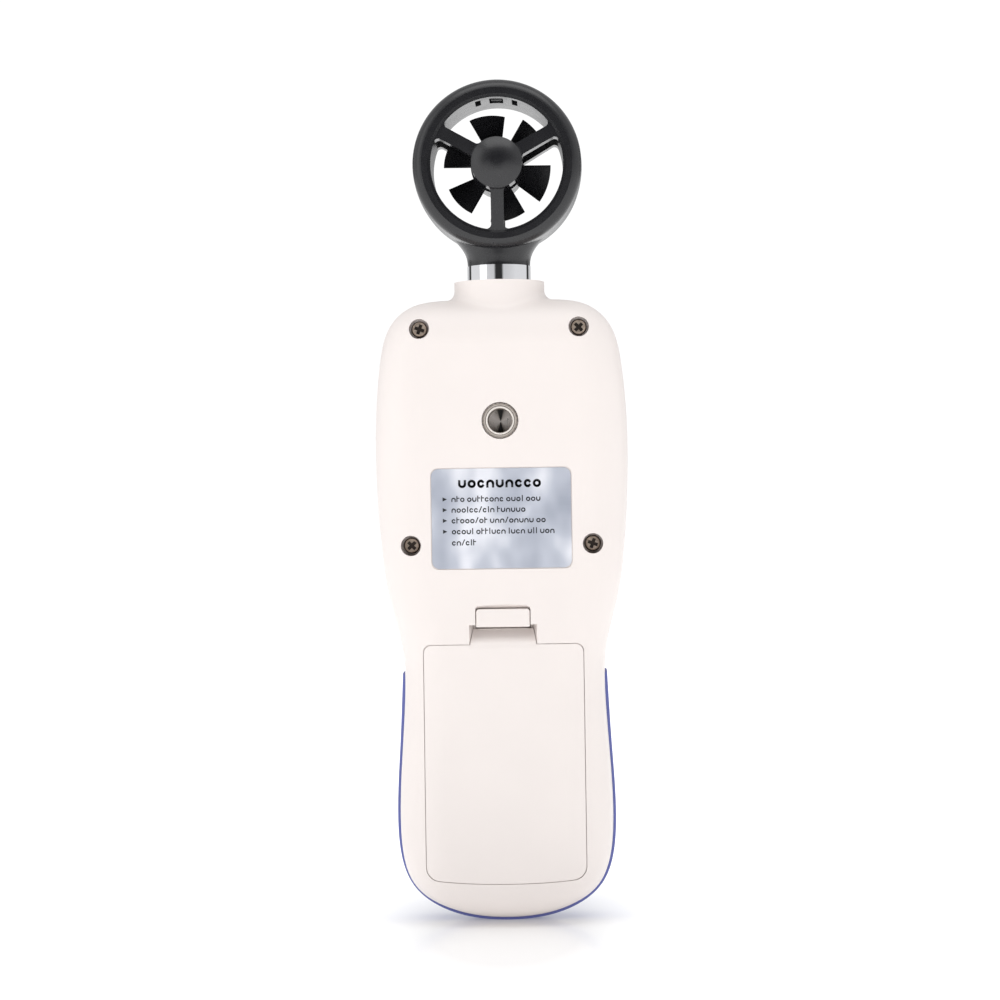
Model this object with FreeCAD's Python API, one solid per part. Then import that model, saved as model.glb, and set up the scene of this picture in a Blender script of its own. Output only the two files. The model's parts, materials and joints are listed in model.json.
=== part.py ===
"""Handheld vane anemometer: a swivelling six-blade vane head on a two-part casing with a battery bay.

Millimetres. Heights are measured up from the bottom of the casing, y = 0 is the plane where the two
casing halves meet, the rear face looks along -Y and the display looks along +Y. The parts are exported
with the origin moved to where the tripod thread starts, just inside the rear face.
"""
import FreeCAD, Part

import math
import os

V = FreeCAD.Vector
X_AXIS, Y_AXIS, Z_AXIS = V(1, 0, 0), V(0, 1, 0), V(0, 0, 1)

# ---- driving dimensions -------------------------------------------------------------------------
# half outline of the casing, as (half width, height) from the shoulder down to the foot
SHOULDER_TOP, FOOT = 136.3, 0.6
HALF_OUTLINE = [
    (14.0, 136.2), (20.1, 134.6), (24.4, 130.3), (26.6, 122.0), (27.7, 106.0), (27.1, 87.0),
    (25.4, 72.4), (22.7, 61.4), (21.95, 53.0), (22.6, 40.0), (23.4, 25.0), (22.4, 13.0), (18.9, 6.6),
    (11.0, 2.1),
]
WALL = 2.0                       # casing wall
SEAM = 0.15                      # gap between the two casing halves
OVERRUN = 14.0                   # how far a half runs past the seam while its neck is blended in

REAR_DEPTH = 13.5                # flat of the rear face
REAR_STRAIGHT = 5.5              # side wall before the rear face rounds over
SIDE_DRAFT, FOOT_DRAFT = 0.35, 0.8  # how much that wall draws in: all round, and further at the foot
REAR_ROUND = 10.0                # how far in from the outline the rounding reaches

FRONT_DEPTH = 14.5               # flat round the display and keys
GRIP_DEPTH = 12.4                # thinner handle below them
FRONT_FILLET = 6.0
GRIP_PROUD = 0.6                 # how far the grip stands out of the casing's outline
GRIP_SKIN = 1.2                  # how deep the grip is let into the front casing
GRIP_TOP_SIDE, GRIP_TOP_MID = 58.3, 46.0

TRIPOD_HEIGHT = 109.5
TRIPOD_MINOR_R, TRIPOD_CHAMFER, TRIPOD_BODY_R = 2.55, 0.5, 3.75
TRIPOD_FACE_R, TRIPOD_RIM_R, TRIPOD_TEETH = 3.0, 3.95, 24
TRIPOD_LENGTH, TRIPOD_DEPTH = 9.5, 7.5

LABEL_W, LABEL_H, LABEL_HEIGHT = 30.0, 21.5, 88.5
LABEL_THICK, LABEL_RECESS, LABEL_CORNER = 0.2, 0.3, 1.7

# casing screws: (half spacing, height, y of the seat under the head)
SCREW_ROWS = [(17.2, 129.5, -9.2), (19.6, 82.8, -7.8)]
SCREW_HEAD_R, SCREW_HEAD_H, SCREW_SHANK_R, SCREW_END = 1.75, 1.5, 1.25, 7.0
COUNTERBORE_R, SCREW_CLEAR_R, PILOT_R, BOSS_R = 2.2, 1.45, 1.3, 3.7

# neck and swivel
NECK_R, NECK_TOP, NECK_BOTTOM, NECK_BLEND = 9.9, 140.2, 129.4, 2.0
COLLAR_R, COLLAR_SEAT, COLLAR_TOP = 6.95, 138.0, 143.7
STEM_R, STEM_BORE, STEM_TOP = 5.0, 3.0, 147.0
FLANGE_R, FLANGE_BOTTOM, FLANGE_TOP = 6.6, 127.2, 129.2
STOP_LUG_R, STOP_LUG_W = 8.4, 2.4
RUNNING = 0.08                   # radial running clearance

# vane head
HEAD_HEIGHT = 165.45
RING_R, DUCT_R, RING_HALF_DEPTH = 18.52, 14.4, 9.0
CHANNEL_IN, CHANNEL_OUT, CHANNEL_HALF = 15.9, 17.3, 6.5
HUB_R, SPOKE_W, SPOKE_ANGLES, SPOKE_BLEND = 5.55, 2.8, (30, 150, 270), 1.0
WINDOW_Y = (-6.2, 0.6)
WINDOWS_X = [(-4.6, -3.4), (-1.5, 1.5), (3.4, 4.6)]

ROTOR_HUB_R, ROTOR_TIP_R, ROTOR_HALF = 5.8, 11.7, 2.9
BLADES, BLADE_SWEEP, BLADE_PHASE, BLADE_THICK = 6, 38.0, 41.0, 0.5
SHAFT_R, BEARING_R, BEARING_IN, BEARING_OUT = 0.6, 1.6, 4.9, 8.2

# battery bay
BAY_HALF_W, BAY_BOTTOM, BAY_TOP, BAY_FLOOR = 16.1, 11.6, 59.8, -0.2
BAY_WALL = 1.4
CELL_R, CELL_LENGTH, CELL_PITCH, CELL_Y = 5.25, 44.5, 10.6, -5.6
PLATE_THICK = 0.4
COVER_HALF_W, COVER_TOP, COVER_BOTTOM, COVER_SAG, COVER_THICK = 17.2, 61.3, 10.5, 0.6, 1.8
COVER_CORNER_TOP, COVER_CORNER_BOTTOM, COVER_GAP = 1.8, 3.0, 0.15
COVER_RIM, COVER_LEDGE = 0.9, 0.45   # width and thickness of the thin rim that rests on the casing
SCOOP_CORNER = 0.8
SCOOP_HALF_W, SCOOP_DEEP_W, SCOOP_R = 7.2, 6.2, 3.3
LATCH_HALF_W, LATCH_TOP, LATCH_BOTTOM = 5.8, 69.0, 65.1
SCOOP_SIDE, SCOOP_MID, SCOOP_DEPTH = 69.6, 70.1, 1.5   # finger scoop over the latch tab
LATCH_PIVOT_Y, LATCH_PIVOT_Z = -5.4, 66.0
HOOK_X, HOOK_HALF_W = 9.0, 2.0

# electronics
BOARD_BACK, BOARD_FRONT = 3.6, 5.2
BOARD_BOTTOM, BOARD_TOP, BOARD_INSET = 51.0, 124.0, 4.6
DISPLAY_HEIGHT, GLASS_W, GLASS_H = 103.0, 40.0, 29.0
VIEW_W, VIEW_H = 36.0, 23.0
WINDOW_W, WINDOW_H, WINDOW_CORNER, WINDOW_THICK = 43.0, 33.0, 4.0, 1.2

# keys: name, x, height, half width, half height
KEYS = [
    ("power_button", 0.0, 62.5, 4.6, 4.6),
    ("hold_button", -12.5, 70.5, 4.4, 2.9),
    ("mode_button", 0.0, 75.0, 4.4, 2.9),
    ("light_button", 12.5, 70.5, 4.4, 2.9),
]
KEY_PROUD, KEY_GAP, KEY_TRAVEL, KEY_FLANGE = 1.1, 0.15, 0.8, 0.8
SWITCH_H, PLUNGER_H = 2.0, 0.6

BOARD_SCREWS = [(-14.0, 121.8), (14.0, 121.8), (-14.5, 57.0), (14.5, 57.0)]
FAR = 60.0                       # longer than anything it has to cut through

ORIGIN = V(0, -REAR_DEPTH + TRIPOD_CHAMFER, TRIPOD_HEIGHT)
nodes = {}


# ---- small helpers ------------------------------------------------------------------------------
def box(x0, x1, y0, y1, z0, z1):
    return Part.makeBox(x1 - x0, y1 - y0, z1 - z0, V(x0, y0, z0))


def rod_y(x, z, r, y0, y1):
    return Part.makeCylinder(r, y1 - y0, V(x, y0, z), Y_AXIS)


def rod_z(r, z0, z1, x=0.0, y=0.0):
    return Part.makeCylinder(r, z1 - z0, V(x, y, z0), Z_AXIS)


def union(shapes):
    shapes = list(shapes)
    return shapes[0].multiFuse(shapes[1:]).removeSplitter()


def spun(points, centre, axis):
    """Solid of revolution about axis through centre, from a closed (radius, along) polygon."""
    along = V(0, 0, 1) if axis is Z_AXIS else V(0, 1, 0)
    loop = [centre + V(r, 0, 0) + along * a for r, a in points]
    face = Part.Face(Part.makePolygon(loop + loop[:1]))
    return face.revolve(centre, axis, 360)


def rounded_rect(x, z, half_w, half_h, radii, y):
    """Face in an XZ plane; radii are (top, bottom) corner radii."""
    top, bottom = radii
    corners = [(1, 1, top), (-1, 1, top), (-1, -1, bottom), (1, -1, bottom)]
    ends, edges = [], []
    for sx, sz, r in corners:
        cx, cz = x + sx * (half_w - r), z + sz * (half_h - r)
        side, cap = V(cx + sx * r, y, cz), V(cx, y, cz + sz * r)
        mid = V(cx + sx * r * math.sqrt(0.5), y, cz + sz * r * math.sqrt(0.5))
        first, last = (side, cap) if sx * sz > 0 else (cap, side)
        ends.append((first, last))
        edges.append(Part.Arc(first, mid, last).toShape())
    for i in range(4):
        a, b = ends[i][1], ends[(i + 1) % 4][0]
        if a.distanceToPoint(b) > 1e-6:
            edges.append(Part.LineSegment(a, b).toShape())
    return Part.Face(Part.Wire(Part.sortEdges(edges)[0]))


def slab(x, z, half_w, half_h, radii, y0, y1):
    return rounded_rect(x, z, half_w, half_h, radii, y0).extrude(V(0, y1 - y0, 0))


def tube_path(points, share=0.45):
    """Wire of straight runs joined by tangent arcs."""
    edges, start = [], points[0]
    for before, corner, after in zip(points, points[1:], points[2:]):
        a, b = (before - corner), (after - corner)
        reach = share * min(a.Length, b.Length)
        a.normalize()
        b.normalize()
        first, last = corner + a * reach, corner + b * reach
        half_turn = (math.pi - a.getAngle(b)) / 2
        radius = reach / math.tan(half_turn)
        centre_way = (a + b).normalize()
        mid = corner + centre_way * (radius / math.cos(half_turn) - radius)
        edges += [Part.LineSegment(start, first).toShape(), Part.Arc(first, mid, last).toShape()]
        start = last
    edges.append(Part.LineSegment(start, points[-1]).toShape())
    return Part.Wire(edges)


def wire_tube(path, r):
    start, ahead = path.Edges[0].firstVertex().Point, path.Edges[0].tangentAt(0)
    section = Part.Wire([Part.makeCircle(r, start, ahead)])
    return path.makePipeShell([section], True, False)


# ---- casing forms -------------------------------------------------------------------------------
def closed_outline():
    """Points of the whole outline and the spline parameters that every offset of it shares."""
    mirrored = [(-x, z) for x, z in reversed(HALF_OUTLINE)]
    points = [(0.0, SHOULDER_TOP), *HALF_OUTLINE, (0.0, FOOT), *mirrored]
    params = [0.0]
    for i, p in enumerate(points):
        params.append(params[-1] + math.sqrt(math.dist(p, points[(i + 1) % len(points)])))
    return points, params


POINTS, PARAMS = closed_outline()


def spline(points):
    curve = Part.BSplineCurve()
    curve.interpolate(Points=points, PeriodicFlag=True, Parameters=PARAMS)
    return curve


def outward_normals():
    curve = spline([V(x, 0, z) for x, z in POINTS])
    tangents = [curve.tangent(u)[0] for u in PARAMS[:-1]]
    return [V(-t.z, 0, t.x) for t in tangents]


NORMALS = outward_normals()


def outline(grow, y=0.0):
    """The casing outline moved outwards; grow is a number or a function of the height."""
    moved = []
    for (x, z), n in zip(POINTS, NORMALS):
        step = grow(z) if callable(grow) else grow
        moved.append(V(x, y, z) + n * step)
    return spline(moved)


def rear_outline(grow, y):
    """Outline at one depth of the rear half: it draws in towards the rear, most at the foot."""
    def step(z):
        draft = SIDE_DRAFT + FOOT_DRAFT * max((9.0 - z) / 9.0, 0.0)
        return grow + draft * y / REAR_STRAIGHT

    return outline(step, y)


def between(curves, degree, weights):
    """Surface swept through matching outlines."""
    surface = Part.BSplineSurface()
    poles = [list(row) for row in zip(*[c.getPoles() for c in curves])]
    first = curves[0]
    surface.buildFromPolesMultsKnots(
        poles, first.getMultiplicities(), [degree + 1] * 2, first.getKnots(), [0.0, 1.0],
        True, False, first.Degree, degree, [weights for _ in poles],
    )
    return surface.toShape()


def rear_form(grow, overrun=0.0):
    """Solid rear half: a slightly drafted side wall that rolls over to the flat rear face."""
    depth, inset = REAR_DEPTH + grow, REAR_ROUND + 0.75 * grow
    side, rim = rear_outline(grow, overrun), rear_outline(grow, -REAR_STRAIGHT)
    corner, cap = rear_outline(grow, -depth), outline(grow - inset, -depth)
    shell = Part.Compound([
        Part.Face(Part.Wire([side.toShape()])),
        between([side, rim], 1, [1.0, 1.0]),
        between([rim, corner, cap], 2, [1.0, math.sqrt(0.5), 1.0]),
        Part.Face(Part.Wire([cap.toShape()])),
    ])
    shell.sewShape()
    solid = Part.Solid(shell.Shells[0])
    if solid.Volume < 0:
        solid.reverse()
    return solid


def front_profile(grow, back):
    """Side profile of the front: flat at the display and keys, thinner at the handle."""
    flat, thin = FRONT_DEPTH + grow, GRIP_DEPTH + grow

    def bezier(poles):
        curve = Part.BezierCurve()
        curve.setPoles([V(0, y, z) for z, y in poles])
        return curve.toShape()

    def line(a, b):
        return Part.LineSegment(V(0, a[1], a[0]), V(0, b[1], b[0])).toShape()

    return Part.Wire([
        bezier([(146, flat - 3.0), (138, flat - 1.0), (131, flat), (124, flat)]),
        line((124, flat), (54, flat)),
        bezier([(54, flat), (44, flat), (40, thin), (28, thin)]),
        line((28, thin), (20, thin)),
        bezier([(20, thin), (12, thin), (4, thin - 0.6), (-6, thin - 2.4)]),
        line((-6, thin - 2.4), (-6, back)),
        line((-6, back), (146, back)),
        line((146, back), (146, flat - 3.0)),
    ])


def front_form(grow, front_grow, fillet, overrun=0.0):
    """Solid front half: the outline pushed forward, cut to the side profile and rounded."""
    block = Part.Face(Part.Wire([outline(grow, -OVERRUN).toShape()])).extrude(V(0, FAR, 0))
    profile = Part.Face(front_profile(front_grow, SEAM - overrun))
    profile.translate(V(-FAR, 0, 0))
    solid = block.common(profile.extrude(V(2 * FAR, 0, 0))).Solids[0]
    rim = [e for e in solid.Edges if e.BoundBox.YMin > GRIP_DEPTH - 4.0]
    rim = [e for e in rim if e.BoundBox.XLength < FAR and not crosses_face(e)]
    return solid.makeFillet(fillet, rim)


def crosses_face(edge):
    """True for the straight edges that cross the front face between its profile's segments."""
    return edge.BoundBox.ZLength < 1e-3 and edge.BoundBox.XLength > 20


def screw_places():
    return [(side * x, z, seat) for x, z, seat in SCREW_ROWS for side in (-1, 1)]


# ---- rear casing --------------------------------------------------------------------------------
def cover_outline(gap, y0, y1):
    """Prism of the battery cover seen from behind: square top, rounded foot, slightly bowed bottom."""
    half = COVER_HALF_W + gap
    top, bottom = COVER_TOP + gap, COVER_BOTTOM - gap
    rt, rb = COVER_CORNER_TOP, COVER_CORNER_BOTTOM
    s = math.sqrt(0.5)

    def arc(a, b, c):
        return Part.Arc(V(a[0], y0, a[1]), V(b[0], y0, b[1]), V(c[0], y0, c[1])).toShape()

    def line(a, b):
        return Part.LineSegment(V(a[0], y0, a[1]), V(b[0], y0, b[1])).toShape()

    edges = [
        line((-half + rt, top), (half - rt, top)),
        arc((half - rt, top), (half - rt + rt * s, top - rt + rt * s), (half, top - rt)),
        line((half, top - rt), (half, bottom + rb)),
        arc((half, bottom + rb), (half - rb + rb * s, bottom + rb - rb * s), (half - rb, bottom)),
        arc((half - rb, bottom), (0, bottom - COVER_SAG), (-half + rb, bottom)),
        arc((-half + rb, bottom), (-half + rb - rb * s, bottom + rb - rb * s), (-half, bottom + rb)),
        line((-half, bottom + rb), (-half, top - rt)),
        arc((-half, top - rt), (-half + rt - rt * s, top - rt + rt * s), (-half + rt, top)),
    ]
    return Part.Face(Part.Wire(edges)).extrude(V(0, y1 - y0, 0))


def arched_wire(y, half_w, bottom, side, mid):
    """Rectangle in an XZ plane with an arched top."""
    a, b = V(-half_w, y, bottom), V(half_w, y, bottom)
    c, d = V(half_w, y, side), V(-half_w, y, side)
    return Part.Wire([
        Part.LineSegment(a, b).toShape(), Part.LineSegment(b, c).toShape(),
        Part.Arc(c, V(0, y, mid), d).toShape(), Part.LineSegment(d, a).toShape(),
    ])


def ramp_prism(gap, low, high):
    """Block that narrows inwards from the rear face: the outline of the ramp under the latch tab."""
    def across(y, half_w):
        return Part.makePolygon([V(-half_w, y, low), V(half_w, y, low), V(half_w, y, high),
                                 V(-half_w, y, high), V(-half_w, y, low)])

    face, deep = -REAR_DEPTH - 0.1, -REAR_DEPTH + 5.0
    return Part.makeLoft([across(face, SCOOP_HALF_W + gap), across(deep, SCOOP_DEEP_W + gap)], True, True)


def latch_pocket():
    """Space in the rear casing for the ramp at the cover's top, its spring leg and the latch tab."""
    half_w, low = LATCH_HALF_W + 0.15, LATCH_BOTTOM - 1.0
    ramp = ramp_prism(0.15, COVER_TOP - 1.0, LATCH_BOTTOM + 0.5)
    top = LATCH_TOP + 0.12
    tab = slab(0, (COVER_TOP + top) / 2, half_w, (top - COVER_TOP) / 2, (0.8, 0.05), -FAR, -3.6)
    face = -REAR_DEPTH
    finger = Part.makeLoft([
        arched_wire(face - 0.01, half_w, low, SCOOP_SIDE, SCOOP_MID),
        arched_wire(face + SCOOP_DEPTH, half_w, low, LATCH_TOP + 0.1, LATCH_TOP + 0.14),
    ], True, True)
    shoulders = [e for e in finger.Edges if e.BoundBox.ZMin > low + 1 and e.BoundBox.XLength < 0.01]
    return ramp.fuse([tab, finger.makeFillet(SCOOP_CORNER, shoulders)])


def seam_side(sign):
    """Everything on one side of the seam."""
    y0, y1 = (-FAR, 0) if sign < 0 else (SEAM, FAR)
    return box(-FAR, FAR, y0, y1, -FAR, 4 * FAR)


def neck_blank():
    return rod_z(NECK_R, NECK_BOTTOM, NECK_TOP)


def neck_bore():
    stem = rod_z(STEM_R + RUNNING, 100, NECK_TOP + 1)
    collar = rod_z(COLLAR_R + RUNNING, COLLAR_SEAT, NECK_TOP + 1)
    return stem.fuse(collar)


def blended_neck(form, sign):
    """Joins the neck to a form that overruns the seam, rounds its foot and trims it at the seam."""
    joined = form.fuse(neck_blank()).removeSplitter()

    def at_foot(edge):
        mid = edge.valueAt((edge.FirstParameter + edge.LastParameter) / 2)
        on_neck = abs(math.hypot(mid.x, mid.y) - NECK_R) < 0.05
        return on_neck and 131 < mid.z < NECK_TOP - 1 and edge.BoundBox.ZLength < 3

    rounded = joined.makeFillet(NECK_BLEND, [e for e in joined.Edges if at_foot(e)])
    return rounded.common(seam_side(sign))


def rear_casing(outer, inner):
    body = blended_neck(rear_form(0.0, OVERRUN), -1)
    cavity = inner.cut(neck_blank())
    shell = body.cut(cavity)
    bay_block = box(
        -BAY_HALF_W - 2.2, BAY_HALF_W + 2.2, -REAR_DEPTH, BAY_FLOOR + BAY_WALL,
        BAY_BOTTOM - BAY_WALL, BAY_TOP + BAY_WALL,
    )
    inside = rear_form(-1.0).fuse(box(-FAR, FAR, -0.5, 10, 0, 140))
    adds = [bay_block.common(inside)]
    adds += [rod_y(0, TRIPOD_HEIGHT, 6.2, -REAR_DEPTH + 0.5, -REAR_DEPTH + TRIPOD_LENGTH)]
    pocket_wall = box(-9.0, 9.0, -REAR_DEPTH + 0.5, -2.4, BAY_TOP + 0.4, LATCH_TOP + 2.0)
    adds += [pocket_wall]
    for x, z, _ in screw_places():
        adds.append(rod_y(x, z, BOSS_R, -REAR_DEPTH, -0.1).common(outer))
    shell = shell.fuse(adds)
    cuts = [box(-BAY_HALF_W, BAY_HALF_W, -REAR_DEPTH - 1, BAY_FLOOR, BAY_BOTTOM, BAY_TOP)]
    cuts.append(cover_outline(COVER_GAP, -FAR, -REAR_STRAIGHT).cut(rear_form(-COVER_LEDGE - 0.05)))
    cuts.append(cover_outline(-COVER_RIM, -FAR, -REAR_STRAIGHT).cut(rear_form(-COVER_THICK - 0.1)))
    cuts.append(latch_pocket())
    cuts.append(neck_bore())
    cuts.append(rod_y(0, TRIPOD_HEIGHT, TRIPOD_BODY_R + 0.02, -FAR, -REAR_DEPTH + TRIPOD_LENGTH - 0.5))
    cuts.append(rod_y(0, TRIPOD_HEIGHT, TRIPOD_RIM_R + 0.02, -FAR, -REAR_DEPTH + 1.02))
    cuts.append(slab(0, LABEL_HEIGHT, LABEL_W / 2 + 0.2, LABEL_H / 2 + 0.2,
                     (LABEL_CORNER, LABEL_CORNER), -FAR, -REAR_DEPTH + LABEL_RECESS))
    for side in (-1, 1):
        x0, x1 = side * HOOK_X - HOOK_HALF_W - 0.4, side * HOOK_X + HOOK_HALF_W + 0.4
        cuts.append(box(x0, x1, -REAR_DEPTH + WALL, -8.4, 7.6, BAY_BOTTOM + 0.1))
        cuts.append(box(x0, x1, -REAR_DEPTH + WALL - 1.0, -8.4, BAY_BOTTOM - 1.3, BAY_BOTTOM + 0.1))
    for x, z, seat in screw_places():
        cuts.append(rod_y(x, z, COUNTERBORE_R, -FAR, seat))
        cuts.append(rod_y(x, z, SCREW_CLEAR_R, seat, 1))
    return shell.cut(cuts)


def tripod_insert():
    """Blind bush with a knurled rim: the thread's bore is drawn at its minor diameter."""
    y0 = -REAR_DEPTH
    centre = V(0, y0, TRIPOD_HEIGHT)
    minor, mouth, lip = TRIPOD_MINOR_R, TRIPOD_MINOR_R + 0.2, TRIPOD_FACE_R
    profile = [
        (0, TRIPOD_DEPTH), (minor, TRIPOD_DEPTH), (minor, TRIPOD_CHAMFER), (mouth, 0), (lip, 0), (lip, 0.4),
        (lip + 0.22, 0.4), (lip + 0.22, 0.05), (TRIPOD_RIM_R - 0.3, 0.05), (TRIPOD_RIM_R, 0.2),
        (TRIPOD_RIM_R, 1.0), (TRIPOD_BODY_R, 1.0), (TRIPOD_BODY_R, TRIPOD_LENGTH - 0.5),
        (0, TRIPOD_LENGTH - 0.5),
    ]
    body = spun(profile, centre, Y_AXIS)
    notch = rod_y(TRIPOD_RIM_R + 0.08, TRIPOD_HEIGHT, 0.36, y0 - 1, y0 + 1.1)
    step = 360.0 / TRIPOD_TEETH
    return body.cut([notch.rotated(V(0, 0, TRIPOD_HEIGHT), Y_AXIS, i * step) for i in range(TRIPOD_TEETH)])


def casing_screws():
    screws = []
    for x, z, seat in screw_places():
        head = rod_y(x, z, SCREW_HEAD_R, seat - SCREW_HEAD_H, seat)
        edge = [e for e in head.Edges if e.BoundBox.YMax < seat - 0.5]
        head = head.makeFillet(0.6, edge)
        shank = rod_y(x, z, SCREW_SHANK_R, seat, SCREW_END)
        arms = [box(x - 1.1, x + 1.1, seat - 3, seat - 0.5, z - 0.37, z + 0.37),
                box(x - 0.37, x + 0.37, seat - 3, seat - 0.5, z - 1.1, z + 1.1)]
        turn = 45 if x * (z - 100) > 0 else 20
        cross = arms[0].fuse(arms[1]).rotated(V(x, 0, z), Y_AXIS, turn)
        screws.append(head.fuse(shank).cut(cross))
    return Part.Compound(screws)


# ---- battery bay --------------------------------------------------------------------------------
def battery_cover(outer):
    plate = cover_outline(0, -FAR, -REAR_STRAIGHT).common(outer).cut(rear_form(-COVER_LEDGE))
    core = cover_outline(-COVER_RIM - 0.15, -FAR, -REAR_STRAIGHT).common(outer).cut(rear_form(-COVER_THICK))
    centre_z, centre_y = COVER_TOP, -REAR_DEPTH + SCOOP_R
    face, inner = -REAR_DEPTH, -REAR_DEPTH + COVER_THICK
    soft = [V(0, face, centre_z - 0.8), V(0, face + 0.13, centre_z - 0.2),
            V(0, face + 0.65, centre_z + 0.63)]
    top = centre_z + SCOOP_R
    slope = [soft[2], V(0, centre_y + 0.1, top), V(0, centre_y + 1.4, top), V(0, centre_y + 1.4, top - 1.3),
             V(0, centre_y + 0.7, top - 1.3), V(0, inner, centre_z - 0.2), V(0, inner, centre_z - 1.0),
             V(0, face, centre_z - 1.0), soft[0]]
    bend_in = Part.Arc(*soft).toShape()
    side = Part.Face(Part.Wire([bend_in, *Part.makePolygon(slope).Edges]))
    side.translate(V(-SCOOP_HALF_W - 1, 0, 0))
    nose = side.extrude(V(2 * SCOOP_HALF_W + 2, 0, 0)).common(ramp_prism(0, centre_z - 1.0, top))
    above = Part.Face(Part.Wire([bend_in, *Part.makePolygon(
        [soft[2], V(0, face - 1, soft[2].z), V(0, face - 1, soft[0].z), soft[0]]).Edges]))
    above.translate(V(-SCOOP_HALF_W, 0, 0))
    notch = above.extrude(V(2 * SCOOP_HALF_W, 0, 0))
    leg_top = centre_z + SCOOP_R
    leg = box(-5.4, 5.4, centre_y, LATCH_PIVOT_Y - 0.2, leg_top - 1.3, leg_top)
    bend = box(-5.4, 5.4, LATCH_PIVOT_Y - 0.4, LATCH_PIVOT_Y + 0.5, leg_top - 1.3, LATCH_PIVOT_Z - 0.15)
    hooks = []
    for side in (-1, 1):
        x0, x1 = side * HOOK_X - HOOK_HALF_W, side * HOOK_X + HOOK_HALF_W
        hooks.append(box(x0, x1, -REAR_DEPTH + WALL + 0.25, -REAR_DEPTH + WALL + 1.25, 8.7, 12.6))
        hooks.append(box(x0, x1, -REAR_DEPTH + 1.0, -REAR_DEPTH + WALL + 1.25, 11.8, 12.6))
    return union([plate.fuse(core).cut(notch), nose, leg, bend, *hooks])


def cover_latch():
    """Sprung leg and finger tab of the cover's latch."""
    y_face = -REAR_DEPTH + 0.1
    half_h = (LATCH_TOP - LATCH_BOTTOM) / 2
    tab = slab(0, LATCH_BOTTOM + half_h, LATCH_HALF_W, half_h, (0.7, 0.2), y_face, y_face + 1.4)
    tab = tab.makeFillet(0.3, [e for e in tab.Edges if e.BoundBox.YMax < y_face + 0.01])
    leg = box(-5.4, 5.4, y_face + 1.0, LATCH_PIVOT_Y + 0.5, LATCH_PIVOT_Z + 0.15, LATCH_PIVOT_Z + 1.25)
    rib = box(-5.4, 5.4, y_face + 1.0, y_face + 2.4, LATCH_PIVOT_Z + 0.9, LATCH_TOP - 0.6)
    return union([tab, leg, rib])


def cell_up(i):
    """The outer cells stand plus end up and the middle one plus end down."""
    return i != 1


def cell_x(i):
    return (i - 1) * CELL_PITCH


def battery_cell(i):
    x, up = cell_x(i), cell_up(i)
    plus = BAY_TOP - PLATE_THICK if up else BAY_BOTTOM + PLATE_THICK
    way = -1 if up else 1
    profile = [(0, 0), (1.9, 0), (1.9, 0.8), (CELL_R - 0.5, 0.8), (CELL_R - 0.05, 1.3),
               (CELL_R - 0.05, 43.9), (CELL_R - 0.5, CELL_LENGTH), (0, CELL_LENGTH)]
    return spun([(r, way * a) for r, a in profile], V(x, CELL_Y, plus), Z_AXIS)


def conical_spring():
    """Wire coil that narrows from its base towards the cell, standing on the XY plane."""
    turns, per_turn, height, wide, narrow, wire_r = 2.25, 12, 2.2, 3.6, 2.2, 0.25
    count = int(turns * per_turn)
    points = []
    for i in range(count + 1):
        share = i / count
        r, turn = wide + (narrow - wide) * share, 2 * math.pi * turns * share
        points.append(V(r * math.cos(turn), r * math.sin(turn), height * share))
    curve = Part.BSplineCurve()
    curve.interpolate(points)
    path = Part.Wire([curve.toShape()])
    section = Part.Wire([Part.makeCircle(wire_r, points[0], curve.tangent(curve.FirstParameter)[0])])
    return path.makePipeShell([section], True, True)


def battery_springs():
    coils = []
    for i in range(3):
        x, up = cell_x(i), cell_up(i)
        base = BAY_BOTTOM + PLATE_THICK + 0.3 if up else BAY_TOP - PLATE_THICK - 0.3
        coil = conical_spring()
        if not up:
            coil.rotate(V(0, 0, 0), X_AXIS, 180)
        coil.translate(V(x, CELL_Y, base))
        coils.append(coil)
    return Part.Compound(coils)


def battery_contacts():
    """Nickelled plates at both ends of the bay: two single ones and two that join neighbours."""
    def plate(x0, x1, top):
        z = BAY_TOP - PLATE_THICK if top else BAY_BOTTOM
        return box(x0, x1, CELL_Y - 4.2, CELL_Y + 4.2, z, z + PLATE_THICK)

    half, gap = 4.6, cell_x(2)
    return Part.Compound([
        plate(-gap - half, -gap + half, True), plate(-half, gap + half, True),
        plate(-gap - half, half, False), plate(gap - half, gap + half, False),
    ])


def battery_leads():
    """The pair of wires from the top of the bay to the back of the board."""
    leads = []
    for x in (11.0, 13.5):
        way = [V(x, -2.6, BAY_TOP + BAY_WALL + 0.1), V(x, -2.6, 65.0), V(x, 1.0, 67.0),
               V(x, BOARD_BACK - 0.1, 67.0)]
        leads.append(wire_tube(tube_path(way), 0.55))
    return Part.Compound(leads)


# ---- front casing -------------------------------------------------------------------------------
def grip_zone():
    """Everything below the curved upper border of the grip."""
    side, mid = V(-FAR / 2, -1, GRIP_TOP_SIDE + 6), V(0, -1, GRIP_TOP_MID)
    end = V(FAR / 2, -1, GRIP_TOP_SIDE + 6)
    edges = [
        Part.Arc(side, mid, end).toShape(),
        Part.LineSegment(end, V(FAR / 2, -1, -20)).toShape(),
        Part.LineSegment(V(FAR / 2, -1, -20), V(-FAR / 2, -1, -20)).toShape(),
        Part.LineSegment(V(-FAR / 2, -1, -20), side).toShape(),
    ]
    return Part.Face(Part.Wire(edges)).extrude(V(0, FAR, 0))


def grip_grow(z):
    """The grip stands proud low down and dies into the casing at its top."""
    fade = min(max((GRIP_TOP_SIDE + 3.0 - z) / 8.0, 0.0), 1.0)
    return GRIP_PROUD * fade


def key_hole(key, gap, y0, y1):
    _, x, z, half_w, half_h = key
    r = half_h + gap
    return slab(x, z, half_w + gap, half_h + gap, (r - 1e-3, r - 1e-3), y0, y1)


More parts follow.
